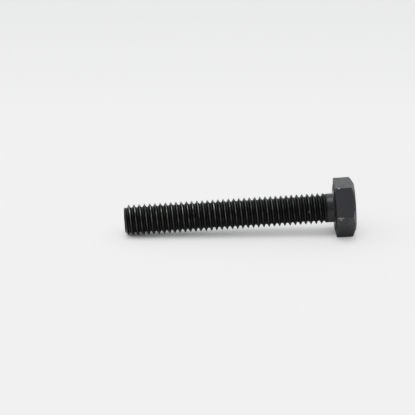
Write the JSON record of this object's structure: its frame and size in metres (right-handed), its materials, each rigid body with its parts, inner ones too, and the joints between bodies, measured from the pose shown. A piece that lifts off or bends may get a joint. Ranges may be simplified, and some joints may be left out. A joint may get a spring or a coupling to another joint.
{
  "type": "hex bolt",
  "caption": "Hexagon head bolt in black oxide steel, right-hand thread from the chamfered point to a short plain neck under the head.",
  "frame": {"origin": "on the bolt's axis, in the plane of the bearing face under the head", "axes": "+X along the bolt's axis from the point towards the head, +Z normal to one flat of the hexagon, so the bolt lies with a flat up and a flat down"},
  "size_m": [0.044, 0.0116, 0.01],
  "materials": {
    "forged_black_steel": "cold-forged steel, black oxide, matte with worn edges",
    "rolled_black_steel": "rolled thread, black oxide, lightly oiled and glossier"
  },
  "bodies": {
    "root": {"hex_head": "forged_black_steel", "washer_face": "forged_black_steel", "plain_neck": "forged_black_steel", "threaded_shank": "rolled_black_steel", "chamfered_point": "rolled_black_steel"}
  },
  "joints": []
}
